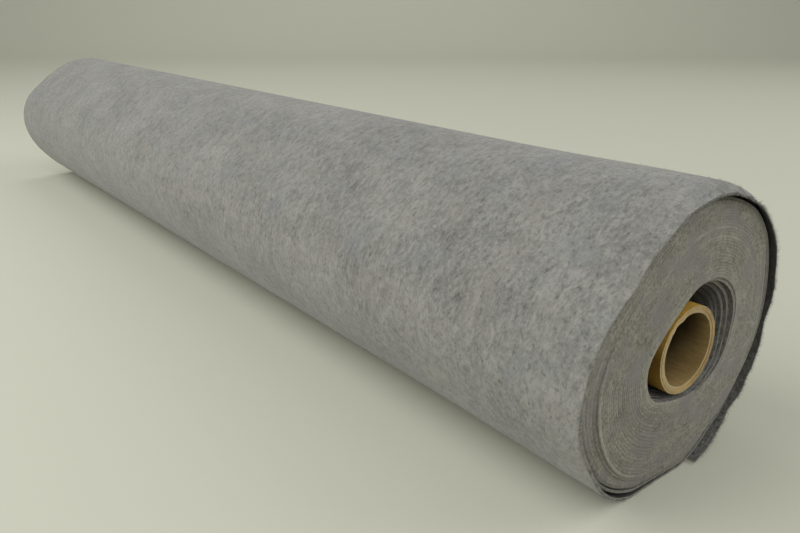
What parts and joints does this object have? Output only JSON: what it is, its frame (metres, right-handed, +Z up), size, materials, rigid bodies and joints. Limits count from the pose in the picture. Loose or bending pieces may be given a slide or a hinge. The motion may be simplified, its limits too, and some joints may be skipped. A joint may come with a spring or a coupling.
{
  "type": "roll of felt",
  "caption": "Roll of grey felt cloth wound on a cardboard tube and lying on its side, with a loose outer turn whose edge stands out round one end.",
  "frame": {"origin": "on the surface that the roll lies on, under the middle of the roll", "axes": "+X along the roll towards its open end, +Z up, +Y to the side where the cloth's free end lies"},
  "size_m": [1.0122, 0.1812, 0.1647],
  "materials": {
    "felt": "matt grey felt, seen as the stacked edges of the turns",
    "felt_outside": "matt mottled grey needled felt with short fibres",
    "cardboard": "plain brown wound cardboard"
  },
  "bodies": {
    "root": {"felt_roll": "felt", "felt_outer_turn": "felt_outside", "cardboard_tube": "cardboard"}
  },
  "joints": []
}
